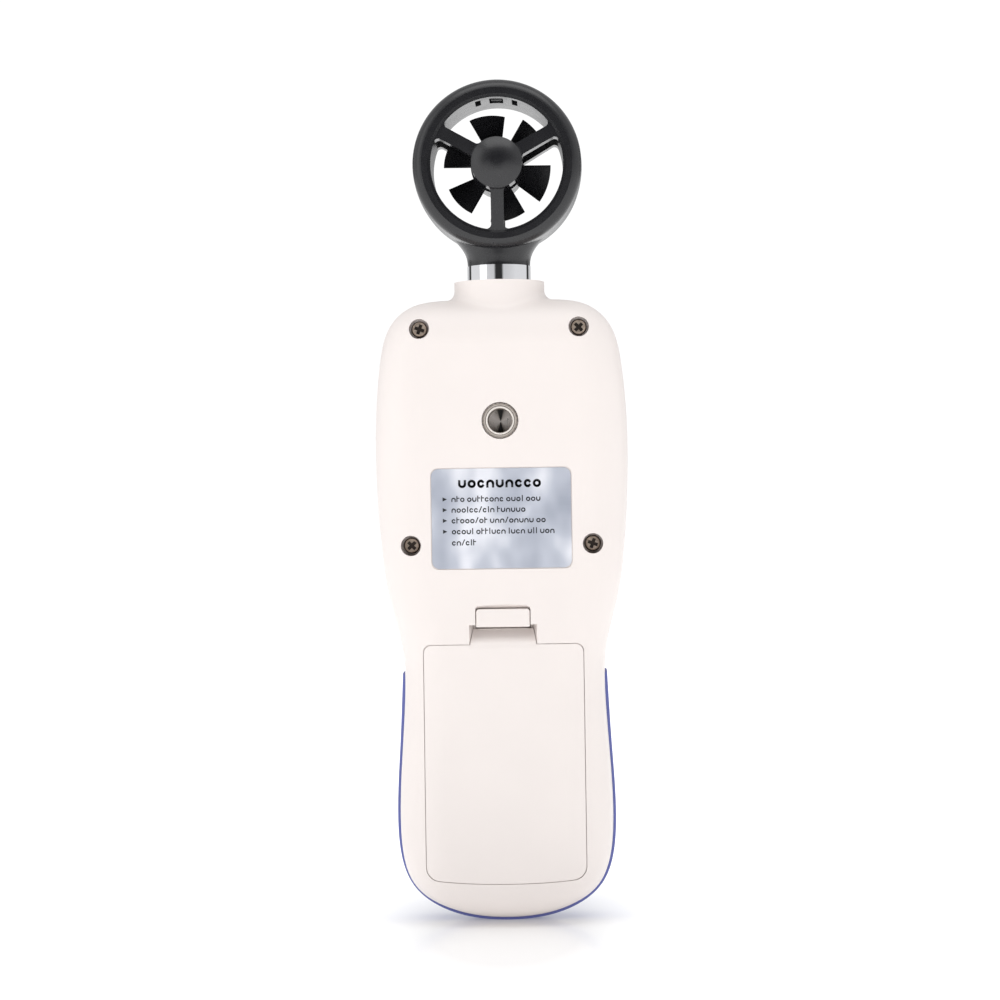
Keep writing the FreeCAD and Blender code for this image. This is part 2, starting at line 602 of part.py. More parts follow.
def front_casing(outer, core, inner, zone):
    necked = blended_neck(front_form(0.0, 0.0, FRONT_FILLET, OVERRUN), 1)
    shell = necked.cut(zone).fuse(core).cut(inner.cut(neck_blank()))
    adds = []
    for x, z, _ in screw_places():
        adds.append(rod_y(x, z, BOSS_R - 0.7, SEAM, FRONT_DEPTH - 1.0).common(outer))
    for x, z in BOARD_SCREWS:
        adds.append(rod_y(x, z, 2.2, BOARD_FRONT, FRONT_DEPTH - 1.0))
    for side in (-1, 1):
        x0, x1 = sorted((side * 6.9, side * 9.2))
        adds.append(box(x0, x1, STOP_LUG_W / 2 + 0.15, 4.4, FLANGE_BOTTOM, NECK_BOTTOM + 1))
    shell = shell.fuse(adds)
    cuts = [neck_bore(), rod_z(FLANGE_R + 0.15, FLANGE_BOTTOM - 5, NECK_BOTTOM)]
    cuts.append(slab(0, DISPLAY_HEIGHT, WINDOW_W / 2 + 0.1, WINDOW_H / 2 + 0.1,
                     (WINDOW_CORNER, WINDOW_CORNER), FRONT_DEPTH - WINDOW_THICK, FAR))
    cuts.append(slab(0, DISPLAY_HEIGHT, VIEW_W / 2 + 1, VIEW_H / 2 + 1, (1.5, 1.5), 9, FAR))
    cuts += [key_hole(key, KEY_GAP, 9, FAR) for key in KEYS]
    cuts += [rod_y(x, z, PILOT_R, -1, SCREW_END + 1) for x, z, _ in screw_places()]
    cuts += [rod_y(x, z, 0.85, BOARD_FRONT - 1, BOARD_FRONT + 5) for x, z in BOARD_SCREWS]
    return shell.cut(cuts)


def key_cap(key):
    x, z = key[1:3]
    face = FRONT_DEPTH + KEY_PROUD
    under = FRONT_DEPTH - 2.4 - 0.1
    cap = key_hole(key, 0, under - 0.2, face)
    top = [e for e in cap.Edges if e.BoundBox.YMin > face - 0.01]
    cap = cap.makeFillet(0.7, top)
    flange = key_hole(key, KEY_FLANGE, under - 0.9, under)
    stem = rod_y(x, z, 1.4, BOARD_FRONT + SWITCH_H + PLUNGER_H + KEY_TRAVEL + 0.1, under)
    return union([cap, flange, stem])


# ---- electronics --------------------------------------------------------------------------------
def main_board():
    blank = Part.Face(Part.Wire([outline(-BOARD_INSET, BOARD_BACK).toShape()]))
    blank = blank.extrude(V(0, BOARD_FRONT - BOARD_BACK, 0))
    board = blank.common(box(-FAR, FAR, 0, 10, BOARD_BOTTOM, BOARD_TOP))
    cuts = [rod_y(x, z, BOSS_R + 0.5, 0, 10) for x, z, _ in screw_places()]
    cuts += [rod_y(x, z, 1.1, 0, 10) for x, z in BOARD_SCREWS]
    return board.cut(cuts)


def board_screws():
    screws = []
    for x, z in BOARD_SCREWS:
        head = rod_y(x, z, 1.8, BOARD_BACK - 1.2, BOARD_BACK)
        slot = box(x - 1.2, x + 1.2, BOARD_BACK - 2, BOARD_BACK - 0.6, z - 0.25, z + 0.25)
        cross = slot.fuse(slot.rotated(V(x, 0, z), Y_AXIS, 90))
        screws.append(head.fuse(rod_y(x, z, 0.8, BOARD_BACK, BOARD_FRONT + 4)).cut(cross))
    return Part.Compound(screws)


def tact_switches():
    switches = []
    for _, x, z, _, _ in KEYS:
        can = box(x - 3, x + 3, BOARD_FRONT, BOARD_FRONT + SWITCH_H, z - 3, z + 3)
        plunger = rod_y(x, z, 1.7, BOARD_FRONT + SWITCH_H, BOARD_FRONT + SWITCH_H + PLUNGER_H)
        switches.append(can.fuse(plunger))
    return Part.Compound(switches)


def board_chips():
    """Controller, memory, crystal, capacitors and the lead's socket on the back of the board."""
    def on_back(x, z, half_w, half_h, height):
        return box(x - half_w, x + half_w, BOARD_BACK - height, BOARD_BACK, z - half_h, z + half_h)

    parts = [on_back(0, 92, 6, 6, 1.4), on_back(-13, 98, 2.5, 2, 1.2), on_back(10, 80, 3, 1.2, 1.8)]
    parts += [on_back(-12 + 3 * i, 76, 0.8, 0.5, 0.7) for i in range(5)]
    parts += [on_back(13, 92 + 3 * i, 0.5, 0.8, 0.7) for i in range(4)]
    return Part.Compound(parts)


def display_frame():
    y0, y1 = BOARD_FRONT + 0.05, BOARD_FRONT + 5.2
    frame = slab(0, DISPLAY_HEIGHT, GLASS_W / 2 + 1.4, GLASS_H / 2 + 1.4, (1, 1), y0, y1)
    light = box(-VIEW_W / 2 - 0.6, VIEW_W / 2 + 0.6, y0 - 1, y1, DISPLAY_HEIGHT - VIEW_H / 2 - 0.6,
                DISPLAY_HEIGHT + VIEW_H / 2 + 0.6)
    seat = box(-GLASS_W / 2 - 0.1, GLASS_W / 2 + 0.1, y0 + 2.9, y1 + 1, DISPLAY_HEIGHT - GLASS_H / 2 - 0.1,
               DISPLAY_HEIGHT + GLASS_H / 2 + 0.1)
    strip = box(-16.1, 16.1, y0 - 1, y0 + 3.0, DISPLAY_HEIGHT - GLASS_H / 2 + 0.2,
                DISPLAY_HEIGHT - GLASS_H / 2 + 2.4)
    return frame.cut([light, seat, strip])


def display_panel():
    y0 = BOARD_FRONT + 2.95 + 0.02
    z0 = DISPLAY_HEIGHT - GLASS_H / 2
    back = box(-GLASS_W / 2, GLASS_W / 2, y0, y0 + 1.1, z0, z0 + GLASS_H)
    front = box(-GLASS_W / 2, GLASS_W / 2, y0 + 1.1, y0 + 2.2, z0 + 3.0, z0 + GLASS_H)
    return back.fuse(front)


def backlight_panel():
    return box(-VIEW_W / 2, VIEW_W / 2, BOARD_FRONT + 0.3, BOARD_FRONT + 2.8,
               DISPLAY_HEIGHT - VIEW_H / 2, DISPLAY_HEIGHT + VIEW_H / 2)


def contact_strip():
    z0 = DISPLAY_HEIGHT - GLASS_H / 2
    return box(-16, 16, BOARD_FRONT + 0.02, BOARD_FRONT + 2.9, z0 + 0.4, z0 + 2.2)


def window_gasket():
    y0 = FRONT_DEPTH - WINDOW_THICK
    outer = slab(0, DISPLAY_HEIGHT, WINDOW_W / 2 - 0.6, WINDOW_H / 2 - 0.6, (3.4, 3.4), y0, y0 + 0.15)
    return outer.cut(slab(0, DISPLAY_HEIGHT, VIEW_W / 2 + 1.2, VIEW_H / 2 + 1.2, (1.6, 1.6), y0 - 1, y0 + 1))


def display_window():
    y0 = FRONT_DEPTH - WINDOW_THICK + 0.15
    plate = slab(0, DISPLAY_HEIGHT, WINDOW_W / 2, WINDOW_H / 2, (WINDOW_CORNER - 0.1,) * 2, y0, FRONT_DEPTH)
    edge = [e for e in plate.Edges if e.BoundBox.YMin > FRONT_DEPTH - 0.01]
    return plate.makeChamfer(0.2, edge)


# ---- vane head ----------------------------------------------------------------------------------
HEAD_CENTRE = V(0, 0, HEAD_HEIGHT)


def head_body():
    """Ring and flared neck as one solid, before the duct is bored."""
    half, r = RING_HALF_DEPTH, RING_R
    pts = [V(DUCT_R - 1, 0, 0), V(DUCT_R - 1, -half, 0), V(16.4, -half, 0)]
    edges = [
        Part.LineSegment(V(DUCT_R - 1, half, 0), V(DUCT_R - 1, -half, 0)).toShape(),
        Part.LineSegment(pts[1], pts[2]).toShape(),
        Part.Arc(V(16.4, -half, 0), V(17.8, -half + 0.85, 0), V(r - 0.15, -half + 2.9, 0)).toShape(),
        Part.Arc(V(r - 0.15, -half + 2.9, 0), V(r, 0, 0), V(r - 0.15, half - 2.9, 0)).toShape(),
        Part.Arc(V(r - 0.15, half - 2.9, 0), V(17.8, half - 0.85, 0), V(16.4, half, 0)).toShape(),
        Part.LineSegment(V(16.4, half, 0), V(DUCT_R - 1, half, 0)).toShape(),
    ]
    profile = Part.Face(Part.Wire(edges))
    ring = profile.revolve(V(0, 0, 0), Y_AXIS, 360)
    ring.translate(HEAD_CENTRE)
    # neck sections: height, half width, half depth
    sections = [(143.7, 6.85, 6.85), (145.4, 7.02, 6.9), (146.6, 7.45, 7.0), (147.9, 8.25, 7.1),
                (149.2, 9.35, 7.3), (150.7, 10.9, 7.5), (152.6, 12.9, 7.8), (154.6, 14.8, 8.1)]
    wires = []
    for z, a, b in sections:
        ellipse = Part.Ellipse(V(0, 0, z), max(a, b + 1e-3), b)
        wires.append(Part.Wire([ellipse.toShape()]))
    neck = Part.makeLoft(wires, True, False)
    return ring.fuse(neck)


def spider(sign):
    """Three spokes and a domed hub that close one end of the duct."""
    outer_r = DUCT_R + 0.8
    openings = []
    for start, end in zip(SPOKE_ANGLES, [*SPOKE_ANGLES[1:], SPOKE_ANGLES[0] + 360]):
        openings.append(rounded_opening(start, end))
    flat = Part.makeCylinder(outer_r, 2, V(0, -1, 0), Y_AXIS).cut(openings)
    face = [f for f in flat.Faces if abs(f.CenterOfMass.y + 1) < 1e-6][0]
    face.translate(V(0, -19, 0))
    prism = face.extrude(V(0, 40, 0))
    dome = Part.Arc(V(0, -11.9, 0), V(3.0, -11.45, 0), V(HUB_R, -10.1, 0)).toShape()
    rest = Part.makePolygon([
        V(HUB_R, -10.1, 0), V(HUB_R + 0.3, -9.7, 0), V(outer_r, -8.3, 0), V(outer_r, -4.6, 0),
        V(HUB_R + 0.3, -5.6, 0), V(HUB_R, -5.0, 0), V(0, -5.0, 0), V(0, -11.9, 0)])
    band = Part.Face(Part.Wire([dome, *rest.Edges])).revolve(V(0, 0, 0), Y_AXIS, 360)
    solid = prism.common(band)
    if sign > 0:
        solid = solid.mirror(V(0, 0, 0), Y_AXIS)
    solid.translate(HEAD_CENTRE)
    return solid


def rounded_opening(start, end):
    """Prism of one gap between two spokes, its corners rounded."""
    inner, outer = HUB_R, DUCT_R
    half_in = math.degrees(math.asin(SPOKE_W / 2 / inner))
    half_out = math.degrees(math.asin(SPOKE_W / 2 / outer))

    def at(r, deg):
        return V(r * math.cos(math.radians(deg)), -5, r * math.sin(math.radians(deg)))

    mid = (start + end) / 2
    a, b = at(inner, start + half_in), at(outer, start + half_out)
    c, d = at(outer, end - half_out), at(inner, end - half_in)
    wire = Part.Wire([
        Part.LineSegment(a, b).toShape(), Part.Arc(b, at(outer, mid), c).toShape(),
        Part.LineSegment(c, d).toShape(), Part.Arc(d, at(inner, mid), a).toShape(),
    ])
    solid = Part.Face(wire).extrude(V(0, 10, 0))
    upright = [e for e in solid.Edges if e.BoundBox.YLength > 9]
    return solid.makeFillet(SPOKE_BLEND, upright)


def head_shell(sign, body):
    y0, y1 = (-FAR, 0) if sign < 0 else (0.02, FAR)
    half = body.common(box(-FAR, FAR, y0, y1, 100, 200))
    bore = rod_y(0, HEAD_HEIGHT, DUCT_R, -FAR, FAR)
    lead_in = spun([(0, 0), (DUCT_R + 0.7, 0), (DUCT_R, 0.7), (0, 0.7)],
                   V(0, -RING_HALF_DEPTH, HEAD_HEIGHT), Y_AXIS)
    lead_out = lead_in.mirror(V(0, 0, HEAD_HEIGHT), Y_AXIS)
    half = half.cut([bore, lead_in, lead_out])
    half = half.fuse(spider(sign))
    channel = rod_y(0, HEAD_HEIGHT, CHANNEL_OUT, -CHANNEL_HALF, CHANNEL_HALF).cut(
        rod_y(0, HEAD_HEIGHT, CHANNEL_IN, -CHANNEL_HALF, CHANNEL_HALF))
    cuts = [channel, rod_z(STEM_R + 0.01, 140, STEM_TOP), rod_z(2.6, 140, 149.6)]
    for x0, x1 in WINDOWS_X:
        cuts.append(box(x0, x1, *WINDOW_Y, HEAD_HEIGHT + DUCT_R - 2, HEAD_HEIGHT + CHANNEL_IN + 0.2))
    y_in, y_out = sorted((sign * BEARING_IN, sign * BEARING_OUT))
    cuts.append(rod_y(0, HEAD_HEIGHT, BEARING_R, y_in, y_out))
    return half.cut(cuts)


def bearing(sign):
    """Cup bearing pressed into a hub, with a cone for the shaft's point."""
    y_in, y_out = sign * (BEARING_IN + 0.2), sign * BEARING_OUT
    cup = rod_y(0, HEAD_HEIGHT, BEARING_R - 0.01, min(y_in, y_out), max(y_in, y_out))
    hole = spun([(0, 0), (SHAFT_R + 0.1, 0), (SHAFT_R + 0.1, 1.4), (0, 2.1)], V(0, 0, 0), Y_AXIS)
    if sign < 0:
        hole = hole.mirror(V(0, 0, 0), Y_AXIS)
    hole.translate(V(0, y_in, HEAD_HEIGHT))
    return cup.cut(hole)


def rotor_shaft():
    tip = BEARING_IN + 0.2 + 1.9
    profile = [(0, -tip), (SHAFT_R, -tip + 0.9), (SHAFT_R, tip - 0.9), (0, tip)]
    return spun(profile, HEAD_CENTRE, Y_AXIS)


def blade(angle):
    """Twisted sheet between the hub and the tip circle."""
    wires = []
    for r in (ROTOR_HUB_R - 0.8, 8.5, ROTOR_TIP_R + 0.8):
        across = r * math.tan(math.radians(BLADE_SWEEP / 2))
        along = ROTOR_HALF - 0.35
        way = V(across, along, 0)
        n = V(-way.y, way.x, 0)
        n.normalize()
        n = n * (BLADE_THICK / 2)
        c = V(0, 0, r)
        ring = [c + way + n, c + way - n, c - way - n, c - way + n]
        wires.append(Part.makePolygon(ring + ring[:1]))
    sheet = Part.makeLoft(wires, True, True)
    sheet = sheet.common(rod_y(0, 0, ROTOR_TIP_R, -10, 10))
    sheet.rotate(V(0, 0, 0), Y_AXIS, 90 - angle)
    sheet.translate(HEAD_CENTRE)
    return sheet


def vane_rotor():
    half, r = ROTOR_HALF, ROTOR_HUB_R
    profile = [(0, -half - 0.5), (r - 1.6, -half - 0.5), (r - 0.5, -half - 0.1), (r, -half + 0.6),
               (r, half - 0.6), (r - 0.5, half + 0.1), (r - 1.6, half + 0.5), (0, half + 0.5)]
    hub = spun(profile, HEAD_CENTRE, Y_AXIS)
    blades = [blade(BLADE_PHASE + i * 360 / BLADES) for i in range(BLADES)]
    return hub.fuse(blades).cut(rod_y(0, HEAD_HEIGHT, SHAFT_R, -10, 10))


def swivel_collar():
    ring = rod_z(COLLAR_R, COLLAR_SEAT + 0.1, COLLAR_TOP)
    return ring.cut(rod_z(STEM_R + 0.02, 100, 200))


def swivel_stem():
    tube = rod_z(STEM_R, FLANGE_BOTTOM, STEM_TOP)
    flange = rod_z(FLANGE_R, FLANGE_BOTTOM, FLANGE_TOP)
    lug = box(-STOP_LUG_W / 2, STOP_LUG_W / 2, -STOP_LUG_R, 0, FLANGE_BOTTOM, FLANGE_TOP)
    return union([tube, flange, lug]).cut(rod_z(STEM_BORE, 100, 200))


def pickup_board():
    z0 = HEAD_HEIGHT + CHANNEL_IN + 0.06
    return box(-4.4, 4.4, -5.6, 4.6, z0, z0 + 0.45)


def pickup_sensors():
    z1 = HEAD_HEIGHT + CHANNEL_IN + 0.05
    return Part.Compound([box(-1.2, 1.2, y - 0.9, y + 0.9, z1 - 1.2, z1) for y in (-4.4, -0.8)])


def head_lead():
    """Signal lead from the pickup round the ring's channel and down the stem's axis."""
    r = (CHANNEL_IN + CHANNEL_OUT) / 2
    points = []
    for deg in range(72, -79, -15):
        turn = math.radians(deg)
        points.append(V(r * math.cos(turn), 3.0, HEAD_HEIGHT + r * math.sin(turn)))
    points.append(V(0.4, 0.4, HEAD_HEIGHT - r + 0.05))
    return wire_tube(tube_path(points), 0.35)


def stem_lead():
    return rod_z(0.6, FLANGE_BOTTOM + 0.5, 148.9)


def board_lead():
    points = [V(0, 0, FLANGE_BOTTOM + 0.3), V(0, 0, 123.0), V(0, 2.1, 119.4), V(0, 2.1, 116.4)]
    return wire_tube(tube_path(points), 0.6)


def lead_socket():
    return box(-2.6, 2.6, BOARD_BACK - 2.8, BOARD_BACK, 111.8, 116.4)


# ---- build --------------------------------------------------------------------------------------
def build():
    rear_outer, rear_inner = rear_form(0.0), rear_form(-WALL)
    nodes["rear_casing"] = rear_casing(rear_outer, rear_inner)
    nodes["battery_cover"] = battery_cover(rear_outer)
    nodes["cover_latch"] = cover_latch()

    zone = grip_zone()
    outer = front_form(0.0, 0.0, FRONT_FILLET)
    core = front_form(-GRIP_SKIN, -GRIP_SKIN, FRONT_FILLET - GRIP_SKIN)
    inner = front_form(-WALL - 0.4, -WALL - 0.4, FRONT_FILLET - WALL - 0.4)
    grip_outer = front_form(grip_grow, 0.3, FRONT_FILLET)
    nodes["front_casing"] = front_casing(outer, core, inner, zone)
    nodes["front_grip"] = grip_outer.common(zone).cut(core)

    nodes["tripod_insert"] = tripod_insert()
    nodes["casing_screws"] = casing_screws()
    nodes["rear_label"] = slab(0, LABEL_HEIGHT, LABEL_W / 2, LABEL_H / 2, (LABEL_CORNER - 0.1,) * 2,
                               -REAR_DEPTH + LABEL_RECESS - LABEL_THICK, -REAR_DEPTH + LABEL_RECESS)
    for i in range(3):
        nodes[f"battery_cell_{i + 1}"] = battery_cell(i)
    nodes["battery_springs"] = battery_springs()
    nodes["battery_contacts"] = battery_contacts()
    nodes["battery_leads"] = battery_leads()

    for key in KEYS:
        nodes[key[0]] = key_cap(key)
    nodes["main_board"] = main_board()
    nodes["board_screws"] = board_screws()
    nodes["tact_switches"] = tact_switches()
    nodes["board_chips"] = board_chips()
    nodes["display_frame"] = display_frame()
    nodes["display_panel"] = display_panel()
    nodes["backlight_panel"] = backlight_panel()
    nodes["contact_strip"] = contact_strip()
    nodes["window_gasket"] = window_gasket()
    nodes["display_window"] = display_window()
    nodes["lead_socket"] = lead_socket()
    nodes["board_lead"] = board_lead()

    head = head_body()
    nodes["head_rear_shell"] = head_shell(-1, head)
    nodes["head_front_shell"] = head_shell(1, head)
    nodes["rear_bearing"] = bearing(-1)
    nodes["front_bearing"] = bearing(1)
    nodes["vane_rotor"] = vane_rotor()
    nodes["rotor_shaft"] = rotor_shaft()
    nodes["swivel_collar"] = swivel_collar()
    nodes["swivel_stem"] = swivel_stem()
    nodes["pickup_board"] = pickup_board()
    nodes["pickup_sensors"] = pickup_sensors()
    nodes["head_lead"] = head_lead()
    nodes["stem_lead"] = stem_lead()


def export():
    os.makedirs("parts", exist_ok=True)
    for name, shape in nodes.items():
        placed = shape.copy()
        placed.translate(ORIGIN * -1)
        solids = placed.Solids
        placed = solids[0] if len(solids) == 1 else Part.Compound(solids)
        placed.exportStep(f"parts/{name}.step")
        b = placed.BoundBox
        print(f"{name:18s} solids {len(solids)} valid {placed.isValid()} volume {placed.Volume:9.1f} "
              f"x {b.XMin:6.1f} {b.XMax:6.1f} y {b.YMin:6.1f} {b.YMax:6.1f} z {b.ZMin:6.1f} {b.ZMax:6.1f}")


build()
export()
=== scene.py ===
import json
import math
import random

import bmesh
import bpy
from mathutils import Matrix, Vector


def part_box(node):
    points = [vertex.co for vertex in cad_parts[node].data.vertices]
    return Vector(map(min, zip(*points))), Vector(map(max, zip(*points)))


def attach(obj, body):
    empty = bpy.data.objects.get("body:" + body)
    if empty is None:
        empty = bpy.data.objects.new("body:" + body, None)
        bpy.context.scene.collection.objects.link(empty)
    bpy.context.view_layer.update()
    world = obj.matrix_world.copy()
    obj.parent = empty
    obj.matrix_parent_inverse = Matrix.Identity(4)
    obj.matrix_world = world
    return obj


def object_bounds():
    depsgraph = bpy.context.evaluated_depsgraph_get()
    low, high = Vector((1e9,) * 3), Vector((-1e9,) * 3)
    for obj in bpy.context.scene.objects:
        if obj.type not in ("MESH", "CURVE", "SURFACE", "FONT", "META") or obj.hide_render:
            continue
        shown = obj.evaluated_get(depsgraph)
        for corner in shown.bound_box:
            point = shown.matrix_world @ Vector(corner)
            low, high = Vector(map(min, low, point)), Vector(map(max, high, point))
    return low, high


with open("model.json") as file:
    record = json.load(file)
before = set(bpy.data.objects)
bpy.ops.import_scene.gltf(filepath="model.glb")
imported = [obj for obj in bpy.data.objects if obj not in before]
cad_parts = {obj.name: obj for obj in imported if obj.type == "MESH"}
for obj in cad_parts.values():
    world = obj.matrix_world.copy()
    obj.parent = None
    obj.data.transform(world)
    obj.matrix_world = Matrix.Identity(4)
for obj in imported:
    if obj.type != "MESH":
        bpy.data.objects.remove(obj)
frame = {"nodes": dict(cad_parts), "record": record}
cad_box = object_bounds()
nodes = frame["nodes"]
scene = bpy.context.scene
MM = 0.001
FINE = 0.00002
random.seed(4)


# ---- node material helpers ----------------------------------------------------------------------
def feed(tree, socket, value):
    """Link a socket's output into the socket, or set a plain value on it."""
    if isinstance(value, bpy.types.NodeSocket):
        tree.links.new(value, socket)
    else:
        socket.default_value = value


def add_node(tree, kind, inputs=None, **settings):
    node = tree.nodes.new(kind)
    for key, value in settings.items():
        setattr(node, key, value)
    for key, value in (inputs or {}).items():
        feed(tree, node.inputs[key], value)
    return node


def set_stops(node, stops):
    """Give a colour ramp its stops, each a place and an RGB colour."""
    elements = node.color_ramp.elements
    while len(elements) < len(stops):
        elements.new(0.5)
    for element, (at, colour) in zip(elements, stops):
        element.position = at
        element.color = (*colour, 1.0)


class Shader:
    """A material with a Principled surface and object coordinates, and short calls for its nodes."""

    def __init__(self, name):
        self.material = bpy.data.materials.new(name)
        self.material.use_nodes = True
        self.tree = self.material.node_tree
        self.surface = self.tree.nodes["Principled BSDF"]
        self.place = self.add("ShaderNodeTexCoord").outputs["Object"]

    def add(self, kind, inputs=None, **settings):
        return add_node(self.tree, kind, inputs, **settings)

    def set(self, **values):
        for key, value in values.items():
            feed(self.tree, self.surface.inputs[key.replace("_", " ")], value)

    def math(self, operation, a, b=0.0):
        return self.add("ShaderNodeMath", {0: a, 1: b}, operation=operation).outputs[0]

    def length(self, vector):
        return self.add("ShaderNodeVectorMath", {0: vector}, operation="LENGTH").outputs["Value"]

    def stretched(self, x, y, z):
        return self.add("ShaderNodeMapping", {"Vector": self.place, "Scale": (x, y, z)}).outputs[0]

    def noise(self, scale, detail=3.0, vector=None):
        inputs = {"Vector": vector or self.place, "Scale": scale, "Detail": detail}
        return self.add("ShaderNodeTexNoise", inputs).outputs["Fac"]

    def voronoi(self, scale):
        inputs = {"Vector": self.place, "Scale": scale}
        return self.add("ShaderNodeTexVoronoi", inputs).outputs["Distance"]

    def split(self):
        """The x, y and z of the object coordinates."""
        return self.add("ShaderNodeSeparateXYZ", {0: self.place}).outputs[:3]

    def ramp(self, factor, stops):
        node = self.add("ShaderNodeValToRGB", {0: factor})
        set_stops(node, stops)
        return node.outputs[0]

    def range(self, factor, low, high):
        """The factor's 0..1 spread over low..high."""
        return self.add("ShaderNodeMapRange", {0: factor, 3: low, 4: high}).outputs[0]

    def mix(self, factor, a, b):
        node = self.add("ShaderNodeMix", data_type="RGBA")
        for socket, value in zip((node.inputs[0], node.inputs[6], node.inputs[7]), (factor, a, b)):
            feed(self.tree, socket, (*value, 1.0) if isinstance(value, tuple) else value)
        return node.outputs[2]

    def bump(self, height, strength, distance):
        """Add a bump on top of the bumps already there."""
        inputs = {"Height": height, "Strength": strength, "Distance": distance}
        node = self.add("ShaderNodeBump", inputs)
        before = self.surface.inputs["Normal"]
        if before.is_linked:
            self.tree.links.new(before.links[0].from_socket, node.inputs["Normal"])
        self.tree.links.new(node.outputs[0], before)


def shade(colour, factor):
    return tuple(min(1.0, c * factor) for c in colour)


def around(colour, spread):
    """Ramp stops a little either side of a colour."""
    return [(0.3, shade(colour, 1 - spread)), (0.7, shade(colour, 1 + spread))]


def moulded(name, colour, roughness, spread=0.04, grain=9000.0, depth=0.5, **surface):
    """Injection-moulded plastic or rubber: fine spark-eroded grain, faint mottling, uneven gloss."""
    s = Shader(name)
    cloud = s.noise(55.0, 4.0)
    s.set(Base_Color=s.ramp(cloud, around(colour, spread)))
    s.set(Roughness=s.range(s.noise(420.0, 3.0), roughness - 0.06, roughness + 0.06), **surface)
    s.bump(s.noise(grain, 2.0), depth, FINE)
    s.bump(s.noise(160.0, 2.0), 0.08, 0.0002)
    return s


def metal(name, colour, roughness, lay=(1.0, 1.0, 1.0), scratch=0.15, spread=0.06, **surface):
    """Plated or turned metal, with fine tool marks drawn out along its lay."""
    s = Shader(name)
    marks = s.noise(2600.0, 3.0, s.stretched(*lay))
    s.set(Base_Color=s.ramp(marks, around(colour, spread)))
    s.set(Roughness=s.range(marks, roughness * 0.75, roughness * 1.3), Metallic=1.0, **surface)
    s.bump(marks, scratch, FINE)
    return s


# ---- materials ----------------------------------------------------------------------------------
def make_materials():
    made = {}
    made["casing_plastic"] = moulded("casing_plastic", (0.85, 0.787, 0.757), 0.42, 0.012, 7000.0, 0.25,
                                     Specular_IOR_Level=0.5)
    made["blue_grip"] = moulded("blue_grip", (0.135, 0.16, 0.44), 0.55, 0.06, 5200.0, 0.6)
    made["black_plastic"] = moulded("black_plastic", (0.012, 0.012, 0.014), 0.27, 0.12, 6500.0, 0.2,
                                    Specular_IOR_Level=0.55)
    made["key_rubber"] = moulded("key_rubber", (0.10, 0.13, 0.40), 0.6, 0.05, 5200.0, 0.5)
    made["white_frame"] = moulded("white_frame", (0.74, 0.74, 0.71), 0.5, 0.02)
    made["chip_plastic"] = moulded("chip_plastic", (0.025, 0.025, 0.028), 0.5, 0.1)
    made["gasket_foam"] = moulded("gasket_foam", (0.02, 0.02, 0.02), 0.9, 0.2, 3000.0, 1.0)
    made["light_guide"] = moulded("light_guide", (0.8, 0.86, 0.88), 0.3, 0.02)
    made["lead_sheath"] = moulded("lead_sheath", (0.03, 0.03, 0.032), 0.4, 0.1)

    made["collar_chrome"] = metal("collar_chrome", (0.80, 0.80, 0.82), 0.055, (1.0, 1.0, 14.0), 0.05, 0.02)
    made["screw_steel"] = screw_metal()
    made["bright_steel"] = metal("bright_steel", (0.62, 0.61, 0.58), 0.28)
    made["switch_metal"] = metal("switch_metal", (0.55, 0.56, 0.58), 0.32)
    made["bearing_brass"] = metal("bearing_brass", (0.70, 0.49, 0.22), 0.25)
    made["nickel_brass"] = insert_metal()
    made["silver_label"] = label_film()
    made["cell_jacket"] = cell_jacket()
    made["board_laminate"] = board_laminate()
    made["strip_rubber"] = contact_rubber()
    made["display_glass"] = lcd_glass()
    made["window_clear"] = clear_window()
    return {key: s.material for key, s in made.items()}


LOWER_SCREW_STEP = 1.4 * MM
RECESS_LIP = 0.12 * MM
BORE_R, BORE_FLOOR = 0.0027, 0.0068
RAMP_R = 0.004
THREAD_PITCH = 0.00127
CELL_LENGTH = 0.0445
STRIPE_PITCH = 0.0004


def screw_metal():
    """Plated steel, with painted shade where the driver's recess goes down below the face of the head."""
    s = Shader("screw_steel")
    upper_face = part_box("casing_screws")[0].y
    _, y, z = s.split()
    step = s.math("MULTIPLY", s.math("LESS_THAN", z, 0.0), LOWER_SCREW_STEP)
    # painted shade: the driver's recess below the face of the head is coloured near-black in place of its
    # shadow
    painted_recess_shade = s.math("GREATER_THAN", y, s.math("ADD", step, upper_face + RECESS_LIP))
    marks = s.noise(1500.0, 3.0)
    plate = s.ramp(marks, [(0.3, (0.33, 0.27, 0.22)), (0.7, (0.56, 0.47, 0.39))])
    s.set(Base_Color=s.mix(painted_recess_shade, plate, (0.05, 0.038, 0.032)))
    s.set(Roughness=s.range(marks, 0.3, 0.5), Metallic=0.55)
    s.bump(marks, 0.3, FINE)
    return s


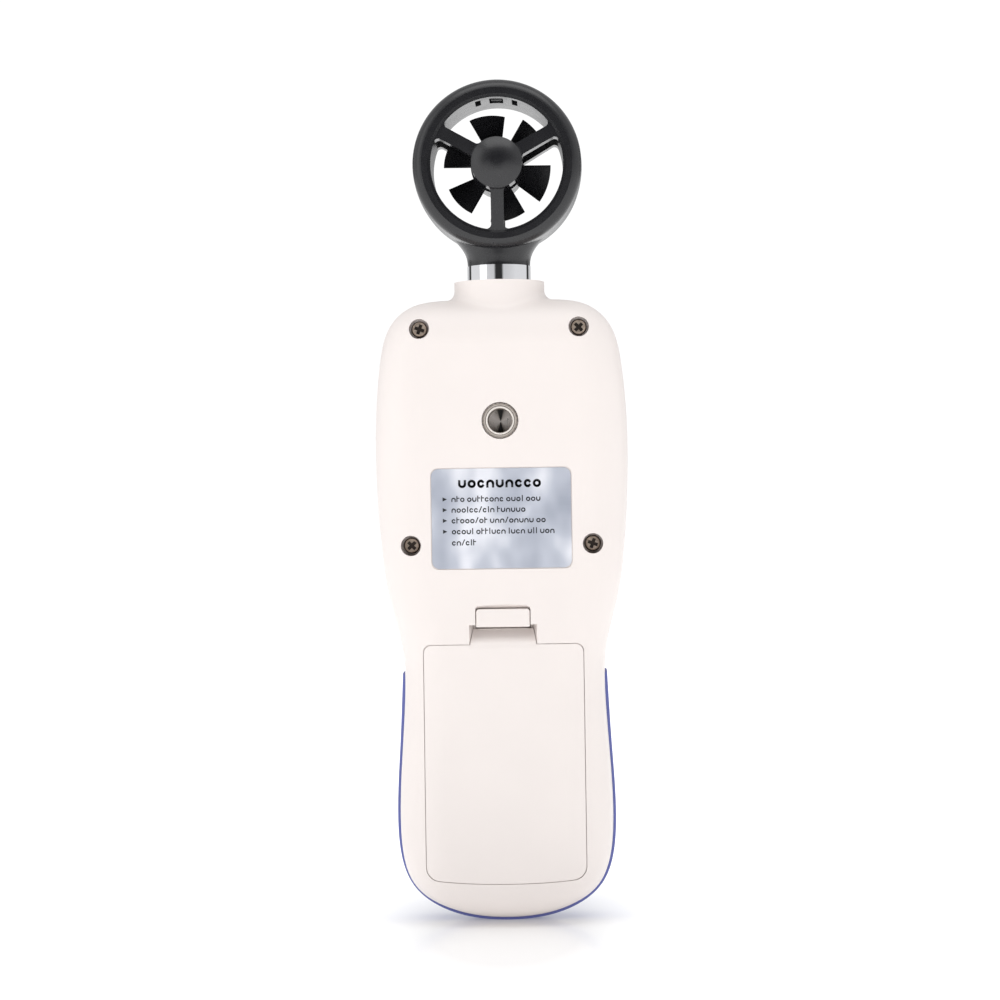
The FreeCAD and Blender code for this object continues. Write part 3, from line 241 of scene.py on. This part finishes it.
def insert_metal():
    """Nickelled brass: a painted highlight on the turned lip, painted shade in the groove, and a painted
    reflection, a fan of light and dark, on the floor of the bore.
    """
    s = Shader("nickel_brass")
    x, y, z = s.split()
    radius = s.length(s.add("ShaderNodeCombineXYZ", {0: x, 2: z}).outputs[0])
    turn = s.math("ARCTAN2", z, x)
    pitch = s.math("MULTIPLY", y, 2 * math.pi / THREAD_PITCH)
    within = s.math("LESS_THAN", radius, BORE_R)
    in_bore = s.math("MULTIPLY", within, s.math("LESS_THAN", y, BORE_FLOOR))
    thread = s.math("MULTIPLY", s.math("SINE", s.math("ADD", pitch, turn)), in_bore)
    tarnish = s.noise(900.0, 3.0)
    span = s.math("DIVIDE", radius, RAMP_R)
    # painted light: lip is a painted highlight on the turned lip, dark is painted shade in the thin grooves
    # either side of it
    dark, lip, rim = (0.12, 0.08, 0.06), (1.0, 0.94, 0.88), (0.30, 0.26, 0.23)
    bright = s.ramp(span, [(0.62, (0.75, 0.68, 0.61)), (0.65, dark), (0.68, lip), (0.76, lip),
                           (0.79, dark), (0.82, (0.66, 0.60, 0.55)), (0.88, rim)])
    # painted reflection: on the bore floor, sectors are coloured light or dark by their angle round the
    # bore
    painted_fan_area = s.math("MULTIPLY", s.math("GREATER_THAN", y, BORE_FLOOR), within)
    fan = s.math("POWER", s.math("ABSOLUTE", s.math("COSINE", turn)), 0.8)
    painted_fan_reflection = s.ramp(fan, [(0.30, (0.02, 0.017, 0.015)), (0.48, (0.50, 0.45, 0.41)),
                          (0.9, (0.92, 0.86, 0.82))])
    s.set(Base_Color=s.mix(painted_fan_area, bright, painted_fan_reflection))
    s.set(Roughness=s.range(tarnish, 0.22, 0.36), Metallic=0.35)
    s.bump(thread, 0.7, 0.0003)
    return s


def label_film():
    """Brushed silver film whose tone drifts in broad soft patches."""
    s = Shader("silver_label")
    broad = s.noise(95.0, 2.0, s.stretched(1.0, 1.0, 0.7))
    brushed = s.noise(5200.0, 2.0, s.stretched(0.02, 1.0, 1.0))
    tone = s.ramp(broad, [(0.32, (0.37, 0.40, 0.48)), (0.5, (0.55, 0.58, 0.66)),
                          (0.64, (0.88, 0.89, 0.95))])
    s.set(Base_Color=s.mix(s.math("MULTIPLY", brushed, 0.18), tone, (0.62, 0.64, 0.70)))
    s.set(Roughness=s.range(brushed, 0.34, 0.5), Metallic=0.35, Coat_Weight=0.25, Coat_Roughness=0.2)
    s.bump(brushed, 0.06, FINE)
    return s


def cell_jacket():
    """Shrink-wrapped cell: dark sleeve, copper-toned shoulder band and bare ends."""
    s = Shader("cell_jacket")
    z = s.split()[2]
    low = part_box("battery_cell_1")[0].z
    height = s.math("DIVIDE", s.math("SUBTRACT", z, low), CELL_LENGTH)
    bare = (0.55, 0.55, 0.53)
    sleeve = s.ramp(height, [(0.0, bare), (0.02, bare), (0.03, (0.03, 0.03, 0.035)),
                             (0.70, (0.035, 0.035, 0.04)), (0.72, (0.62, 0.36, 0.16)),
                             (0.965, (0.60, 0.34, 0.15)), (0.975, (0.6, 0.6, 0.58))])
    sleeve.node.color_ramp.interpolation = "CONSTANT"
    s.set(Base_Color=s.mix(s.math("MULTIPLY", s.noise(300.0), 0.12), sleeve, (0.2, 0.2, 0.2)))
    s.set(Roughness=s.range(s.noise(500.0), 0.22, 0.36), Metallic=0.3, Coat_Weight=0.3)
    s.bump(s.noise(1400.0), 0.1, 0.00003)
    return s


def board_laminate():
    """Green solder mask over copper tracks."""
    s = Shader("board_laminate")
    upright = s.add("ShaderNodeMapping", {"Vector": s.place, "Rotation": (math.pi / 2, 0, 0)})
    tracks = s.add("ShaderNodeTexBrick", {
        "Vector": upright.outputs[0], "Scale": 330.0, "Mortar Size": 0.06,
        "Color1": (0, 0, 0, 1), "Color2": (0, 0, 0, 1),
        "Mortar": (1, 1, 1, 1)}).outputs["Color"]
    mask = s.ramp(s.noise(120.0), [(0.3, (0.012, 0.10, 0.035)), (0.7, (0.018, 0.135, 0.05))])
    s.set(Base_Color=s.mix(s.math("MULTIPLY", tracks, 0.6), mask, (0.05, 0.24, 0.10)))
    s.set(Roughness=s.range(s.noise(800.0), 0.3, 0.42), Coat_Weight=0.4)
    s.bump(tracks, 0.3, 0.00003)
    return s


def contact_rubber():
    """Striped conductive strip between the glass and the board."""
    s = Shader("strip_rubber")
    x = s.split()[0]
    stripes = s.math("SINE", s.math("MULTIPLY", x, 2 * math.pi / STRIPE_PITCH))
    s.set(Base_Color=s.ramp(s.range(stripes, 0.5, 1.0), [(0.4, (0.03, 0.03, 0.03)),
                                                         (0.6, (0.75, 0.42, 0.45))]))
    s.set(Roughness=s.range(s.noise(900.0), 0.55, 0.7))
    return s


def lcd_glass():
    """Grey-green reflective display, a little uneven as polarisers are."""
    s = Shader("display_glass")
    fine = s.voronoi(1900.0)
    tone = s.ramp(s.noise(40.0), [(0.3, (0.30, 0.35, 0.27)), (0.7, (0.35, 0.40, 0.31))])
    s.set(Base_Color=s.mix(s.math("MULTIPLY", fine, 0.1), tone, (0.22, 0.26, 0.2)))
    s.set(Roughness=s.range(s.noise(700.0), 0.22, 0.32), Coat_Weight=0.5, Coat_Roughness=0.08)
    s.bump(fine, 0.03, 0.00001)
    return s


def clear_window():
    """Clear acrylic with the faintest waviness and smudging."""
    s = Shader("window_clear")
    smudge = s.noise(220.0, 4.0)
    s.set(Base_Color=s.ramp(smudge, [(0.3, (0.93, 0.95, 0.96)), (0.7, (0.97, 0.98, 0.98))]))
    s.set(Roughness=s.range(smudge, 0.02, 0.07), Transmission_Weight=1.0, IOR=1.49)
    s.bump(s.noise(60.0, 1.0), 0.02, 0.0001)
    return s


MATERIALS = make_materials()


def print_ink(name, colour, roughness=0.45):
    """Screen-printed ink, slightly uneven."""
    s = Shader(name)
    s.set(Base_Color=s.ramp(s.noise(1500.0), around(colour, 0.15)))
    s.set(Roughness=s.range(s.noise(900.0), roughness - 0.05, roughness + 0.08))
    return s.material


# ---- carried-over nodes -------------------------------------------------------------------------
for entry in frame["record"]["subparts"]:
    mesh = nodes[entry["node"]].data
    mesh.materials.clear()
    mesh.materials.append(MATERIALS[entry["material_slot"]])


# ---- printed detail -----------------------------------------------------------------------------
def printed_piece(name, bm, material, body):
    """Turn the built faces into a piece that rides on its body."""
    mesh = bpy.data.meshes.new(name)
    bmesh.ops.recalc_face_normals(bm, faces=bm.faces)
    bm.to_mesh(mesh)
    bm.free()
    piece = bpy.data.objects.new(name, mesh)
    scene.collection.objects.link(piece)
    mesh.materials.append(material)
    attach(piece, body)


def plates(name, outlines, y, thickness, material, body):
    """Thin raised shapes in an XZ plane. Outlines are lists of (x, z) in millimetres."""
    bm = bmesh.new()
    for outline in outlines:
        corners = [bm.verts.new((x * MM, y * MM, z * MM)) for x, z in outline]
        face = bm.faces.new(corners)
        raised = bmesh.ops.extrude_face_region(bm, geom=[face])["geom"]
        moved = [v for v in raised if isinstance(v, bmesh.types.BMVert)]
        bmesh.ops.translate(bm, verts=moved, vec=(0, thickness * MM, 0))
    printed_piece(name, bm, material, body)


def rect(x0, x1, z0, z1):
    return [(x0, z0), (x1, z0), (x1, z1), (x0, z1)]


def mid(node, axis):
    low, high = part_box(node)
    return (low[axis] + high[axis]) / 2 / MM


def stroke(path, width):
    """Square-ended bars laid along a path of (x, z) points."""
    bars = []
    for (x0, z0), (x1, z1) in zip(path, path[1:]):
        long = math.hypot(x1 - x0, z1 - z0)
        ux, uz = (x1 - x0) / long * width / 2, (z1 - z0) / long * width / 2
        bars.append([(x0 - ux + uz, z0 - uz - ux), (x1 + ux + uz, z1 + uz - ux),
                     (x1 + ux - uz, z1 + uz + ux), (x0 - ux - uz, z0 - uz + ux)])
    return bars


def sweep(cx, cz, rx, rz, start, end, steps=8):
    angles = [math.radians(start + (end - start) * i / steps) for i in range(steps + 1)]
    return [(cx + rx * math.cos(a), cz + rz * math.sin(a)) for a in angles]


def glyph(kind, x, z, w, low, tall, pen):
    """One made-up character built from rings, arches and stems on the baseline z."""
    t = pen / 2
    cx, rx, rz = x + w / 2, w / 2 - t, low / 2 - t
    left, right, top = x + t, x + w - t, z + low - t
    if kind == "ring":
        return stroke(sweep(cx, z + low / 2, rx, rz, 0, 360, 12), pen)
    if kind == "open":
        return stroke(sweep(cx, z + low / 2, rx, rz, 40, 320, 10), pen)
    if kind == "arch":
        return stroke([(left, z + t), *sweep(cx, top - rx, rx, rx, 180, 0, 6), (right, z + t)], pen)
    if kind == "bowl":
        return stroke([(left, top), *sweep(cx, z + t + rx, rx, rx, 180, 360, 6), (right, top)], pen)
    if kind == "flag":
        return stroke([(left, z + t), (left, z + tall - t)], pen) + stroke([(left, top), (right, top)], pen)
    if kind == "slant":
        return stroke([(left, z + t), (right, z + tall - t)], pen)
    return stroke([(cx, z + t), (cx, z + tall - t)], pen)


KINDS = {"ring": 1.0, "open": 0.92, "arch": 1.0, "bowl": 1.0, "flag": 0.7, "slant": 0.75, "stem": 0.45}


def type_line(x, z, width, low, tall, pen, words):
    """A line of made-up type that spells nothing; words gives the length of each group."""
    blocks, count, end = [], 0, x + width
    names = list(KINDS)
    while x < end - low * 0.4:
        kind = random.choice(names[:4] * 2 + names[4:])
        w = low * KINDS[kind]
        blocks += glyph(kind, x, z, w, low, tall, pen)
        x += w + pen * 0.75
        count += 1
        if count == words[0]:
            x += low * 0.45
            count, words = 0, words[1:] + words[:1]
    return blocks


HEADING = {"low": 1.7, "tall": 2.25, "pen": 0.48}
BODY = {"low": 0.92, "tall": 1.3, "pen": 0.22}
PRINT_THICK, LABEL_PRINT_THICK = 0.02, 0.015
LABEL_INDENT = 4.3
LAST_BULLET_DROP = 15


def label_print():
    """A heading and five lines; all but the run-on last line start with a pointer."""
    low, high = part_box("rear_label")
    left, top, face = low.x / MM, high.z / MM, low.y / MM
    blocks = type_line(left + 5.8, top - 4.15, 17.3, words=[40], **HEADING)
    lines = ((7.15, 24.0, [3, 8, 4]), (9.45, 21.0, [10, 6]), (11.75, 25.0, [8, 9]),
             (14.1, 26.6, [5, 7, 4, 3]), (16.5, 9.6, [9]))
    for drop, end, words in lines:
        blocks += type_line(left + LABEL_INDENT, top - drop, end - LABEL_INDENT, words=words, **BODY)
        if drop < LAST_BULLET_DROP:
            level = top - drop + 0.6
            blocks.append([(left + 2.4, level - 0.45), (left + 3.35, level), (left + 2.4, level + 0.45)])
    plates("label_print", blocks, face, -LABEL_PRINT_THICK, print_ink("label_ink", (0.02, 0.02, 0.025)),
           "casing")


SEGMENTS = {"0": "abcdef", "1": "bc", "2": "abged", "3": "abgcd", "4": "fgbc", "5": "afgcd",
            "6": "afgedc", "7": "abc", "8": "abcdefg", "9": "abcdfg"}


def digit(text, x, z, width, height):
    """Seven-segment outlines of one digit, leaning slightly."""
    t, e = width * 0.2, width * 0.03
    half = height / 2

    def bar_h(level):
        return [(e + t / 2, level), (t + e, level + t / 2), (width - t - e, level + t / 2),
                (width - t / 2 - e, level), (width - t - e, level - t / 2), (t + e, level - t / 2)]

    def bar_v(across, low, high):
        return [(across, low + e), (across + t / 2, low + t / 2 + e), (across + t / 2, high - t / 2 - e),
                (across, high - e), (across - t / 2, high - t / 2 - e), (across - t / 2, low + t / 2 + e)]

    bars = {
        "a": bar_h(height - t / 2), "g": bar_h(half), "d": bar_h(t / 2),
        "f": bar_v(t / 2, half, height - t / 2), "b": bar_v(width - t / 2, half, height - t / 2),
        "e": bar_v(t / 2, t / 2, half), "c": bar_v(width - t / 2, t / 2, half),
    }
    lean = 0.08
    return [[(x + px - lean * pz, z + pz) for px, pz in bars[key]] for key in SEGMENTS[text]]


def display_digits():
    """Seen from the front +X runs to the left, so the readings are laid out mirrored."""
    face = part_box("display_panel")[1].y / MM
    cx, cz = mid("display_window", 0), mid("display_window", 2)
    shapes = []

    def number(text, right, z, width, height):
        at = right
        for mark in reversed(text):
            if mark == ".":
                dot = width * 0.22
                shapes.append(rect(at - dot, at, z, z + dot))
                at -= dot * 1.7
            else:
                shapes.extend(digit(mark, at - width, z, width, height))
                at -= width * 1.28

    number("12.6", 13.0, -4.2, 5.6, 10.2)
    number("24.5", 14.6, -9.4, 1.9, 3.6)
    for i in range(12):
        shapes.append(rect(-15.5 + i * 1.35, -14.6 + i * 1.35, -9.4, -8.6 + i * 0.2))
    for k in range(3):
        turn = math.radians(90 + 120 * k)
        hub = Vector((13.4, 8.3))
        wing = [hub + Vector((math.cos(turn + a), math.sin(turn + a))) * r
                for r, a in ((0.35, -0.9), (1.5, -0.1), (1.55, 0.5), (0.5, 0.9))]
        shapes.append([tuple(p) for p in wing])
    shapes += [rect(-15.4, -12.4, 7.6, 9.2), rect(-12.4, -12.0, 8.0, 8.8)]
    mirrored = [[(cx - x, cz + z) for x, z in shape] for shape in shapes]
    plates("display_digits", mirrored, face, PRINT_THICK, print_ink("lcd_ink", (0.03, 0.035, 0.03)),
           "casing")


def rounded(cx, cz, half_w, half_h, r, steps=8):
    points = []
    for sx, sz, start in ((1, 1, 0), (-1, 1, 90), (-1, -1, 180), (1, -1, 270)):
        for i in range(steps + 1):
            a = math.radians(start + 90 * i / steps)
            points.append((cx + sx * (half_w - r) + r * math.cos(a),
                           cz + sz * (half_h - r) + r * math.sin(a)))
    return points


def ring_plate(name, outer, inner, y, thickness, material, body):
    """Flat band between two outlines that have the same number of points."""
    bm = bmesh.new()
    count = len(outer)
    loops = []
    for depth in (0, thickness):
        loops.append([bm.verts.new((x * MM, (y + depth) * MM, z * MM)) for x, z in outer])
        loops.append([bm.verts.new((x * MM, (y + depth) * MM, z * MM)) for x, z in inner])
    for a, b in ((0, 1), (2, 3), (0, 2), (1, 3)):
        for i in range(count):
            j = (i + 1) % count
            bm.faces.new((loops[a][i], loops[a][j], loops[b][j], loops[b][i]))
    printed_piece(name, bm, material, body)


def window_border():
    """Printed surround on the back of the clear window."""
    low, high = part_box("display_window")
    cx, cz = mid("display_window", 0), mid("display_window", 2)
    half_w, half_h = (high.x - low.x) / 2 / MM, (high.z - low.z) / 2 / MM
    outer = rounded(cx, cz, half_w - 0.3, half_h - 0.3, 3.6)
    inner = rounded(cx, cz, 17.6, 11.2, 1.2)
    ring_plate("window_border", outer, inner, low.y / MM - 0.03, PRINT_THICK,
               print_ink("border_ink", (0.06, 0.065, 0.08), 0.3), "casing")


def arc_band(cx, cz, r, width, start, end, steps=20):
    outer, inner = [], []
    for i in range(steps + 1):
        a = math.radians(start + (end - start) * i / steps)
        outer.append((cx + (r + width / 2) * math.cos(a), cz + (r + width / 2) * math.sin(a)))
        inner.append((cx + (r - width / 2) * math.cos(a), cz + (r - width / 2) * math.sin(a)))
    return [[outer[i], outer[i + 1], inner[i + 1], inner[i]] for i in range(steps)]


def key_marks():
    """A plain pictogram on each key."""
    ink = print_ink("key_ink", (0.82, 0.83, 0.85), 0.5)

    def centre(node):
        return mid(node, 0), mid(node, 2)

    x, z = centre("power_button")
    power = arc_band(x, z - 0.2, 1.6, 0.42, 120, 420) + [rect(x - 0.21, x + 0.21, z + 0.1, z + 2.1)]
    x, z = centre("hold_button")
    hold = [rect(x - 0.85, x - 0.3, z - 1.1, z + 1.1), rect(x + 0.3, x + 0.85, z - 1.1, z + 1.1)]
    x, z = centre("mode_button")
    mode = [[(x - 1.0, z + 0.3), (x + 1.0, z + 0.3), (x, z + 1.5)],
            [(x + 1.0, z - 0.3), (x - 1.0, z - 0.3), (x, z - 1.5)]]
    x, z = centre("light_button")
    light = arc_band(x, z, 0.6, 0.3, 0, 360)
    for k in range(8):
        a = math.radians(45 * k)
        along, across = Vector((math.cos(a), math.sin(a))), Vector((-math.sin(a), math.cos(a))) * 0.11
        ends = [along * 1.0 + across, along * 1.6 + across, along * 1.6 - across, along * 1.0 - across]
        light.append([(x + p.x, z + p.y) for p in ends])
    for key, shapes in (("power", power), ("hold", hold), ("mode", mode), ("light", light)):
        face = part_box(f"{key}_button")[1].y / MM
        plates(f"{key}_mark", shapes, face - 0.005, PRINT_THICK, ink, f"{key}_key")


label_print()
display_digits()
window_border()
key_marks()


# ---- studio -------------------------------------------------------------------------------------
STUDIO_LEVEL = 0.86
FLOOR_HALF = 6.0
GAP_STOPS = [(0.0, 0.05), (0.062, 0.05), (0.10, 1.0), (0.66, 1.0), (0.69, 0.05), (0.755, 0.05),
             (0.785, 1.0)]
CAMERA_PLACE = (0.01107, -0.54438, -0.01683)
CAMERA_TURNS = ((1.192, "Z"), (89.972, "X"), (-0.847, "Z"))
LIGHTS = (
    ("overhead", (0.05, -0.3, 0.75), (0, 0, 0), (0.9, 0.5), 2.1, True),
    ("left_key", (-0.75, -0.45, 0.35), (0, 0, 0), (0.5, 0.7), 0.8, True),
    ("low_fill", (0.0, -0.5, -0.1), (0, 0, -0.07), (0.7, 0.12), 0.65, False),
)


def floor():
    """White floor that glows as a fill light, its glow painted lower under the foot as painted shade, so
    that the foot is faintly mirrored in it.
    """
    low = cad_box[0].z
    mesh = bpy.data.meshes.new("studio_floor")
    square = [(-1, -1), (1, -1), (1, 1), (-1, 1)]
    corners = [(x * FLOOR_HALF, y * FLOOR_HALF, low) for x, y in square]
    mesh.from_pydata(corners, [], [(0, 1, 2, 3)])
    plane = bpy.data.objects.new("studio_floor", mesh)
    scene.collection.objects.link(plane)
    s = Shader("studio_floor")
    s.set(Base_Color=s.ramp(s.noise(3.0), [(0.3, (0.78, 0.78, 0.78)), (0.7, (0.80, 0.80, 0.80))]))
    s.set(Roughness=s.range(s.noise(8.0), 0.16, 0.2), Specular_IOR_Level=0.12)
    away = s.length(s.stretched(1.0, 0.4, 0.0))
    # painted shade and glow: the floor emits light that fills the casing, weaker within a few centimetres
    # of the foot
    glow_with_painted_shade = s.add("ShaderNodeMapRange", {0: away, 1: 0.016, 2: 0.05, 3: 0.2, 4: 0.7}).outputs[0]
    s.set(Emission_Color=(1.0, 1.0, 1.0, 1.0), Emission_Strength=glow_with_painted_shade)
    mesh.materials.append(s.material)


def studio_world():
    """White all round, with the dark gaps of a photographer's corner for shiny metal to reflect."""
    world = bpy.data.worlds.new("studio")
    scene.world = world
    world.use_nodes = True
    tree = world.node_tree
    tree.nodes.clear()

    def calc(operation, a, b=0.5):
        return add_node(tree, "ShaderNodeMath", {0: a, 1: b}, operation=operation).outputs[0]

    def spread(value, start, end, low=0.0, high=1.0):
        inputs = {0: value, 1: start, 2: end, 3: low, 4: high}
        return add_node(tree, "ShaderNodeMapRange", inputs).outputs[0]

    way = add_node(tree, "ShaderNodeTexCoord").outputs["Generated"]
    x, y, z = add_node(tree, "ShaderNodeSeparateXYZ", {0: way}).outputs[:3]
    towards = calc("MULTIPLY", y, -1.0)
    turn = calc("ARCTAN2", calc("ABSOLUTE", x), towards)
    gaps = add_node(tree, "ShaderNodeValToRGB", {0: calc("DIVIDE", turn, math.pi)})
    set_stops(gaps, [(at, (value, value, value)) for at, value in GAP_STOPS])
    height = calc("ABSOLUTE", z)
    dim = calc("MULTIPLY", spread(towards, 0.45, 0.9, 0.0, 0.95), spread(height, 0.06, 0.22))
    keep = calc("SUBTRACT", 1.0, calc("ADD", dim, spread(y, 0.55, 0.92, 0.0, 0.25)))
    open_level = calc("MAXIMUM", gaps.outputs[0], spread(height, 0.25, 0.45))
    strength = calc("MULTIPLY", calc("MULTIPLY", open_level, keep), STUDIO_LEVEL)
    backgrounds = [add_node(tree, "ShaderNodeBackground", {"Color": colour, "Strength": level}).outputs[0]
                   for colour, level in (((0.985, 0.99, 1.0, 1.0), strength), ((1.0, 1.0, 1.0, 1.0), 1.05))]
    seen = add_node(tree, "ShaderNodeLightPath").outputs["Is Camera Ray"]
    both = add_node(tree, "ShaderNodeMixShader", {0: seen, 1: backgrounds[0], 2: backgrounds[1]})
    add_node(tree, "ShaderNodeOutputWorld", {0: both.outputs[0]})


def soft_light(name, place, target, size, watts, mirrored):
    """Area lamp aimed at the target; one that is not mirrored adds no highlight to glossy parts."""
    data = bpy.data.lights.new(name, "AREA")
    data.shape = "RECTANGLE"
    data.size, data.size_y = size
    data.energy = watts
    lamp = bpy.data.objects.new(name, data)
    scene.collection.objects.link(lamp)
    lamp.visible_glossy = mirrored
    lamp.location = place
    lamp.rotation_euler = (Vector(target) - Vector(place)).to_track_quat("-Z", "Y").to_euler()


def camera():
    """Set up from the photograph's perspective: 0.54 m behind the rear face, level, rolled by a degree."""
    data = bpy.data.cameras.new("camera")
    data.sensor_width, data.lens = 36.0, 91.18
    data.clip_start, data.clip_end = 0.01, 50.0
    eye = bpy.data.objects.new("camera", data)
    scene.collection.objects.link(eye)
    aim = Matrix.Translation(CAMERA_PLACE)
    for degrees, axis in CAMERA_TURNS:
        aim = aim @ Matrix.Rotation(math.radians(degrees), 4, axis)
    eye.matrix_world = aim
    scene.camera = eye


floor()
studio_world()
for light in LIGHTS:
    soft_light(*light)
camera()
scene.view_settings.view_transform = "Standard"
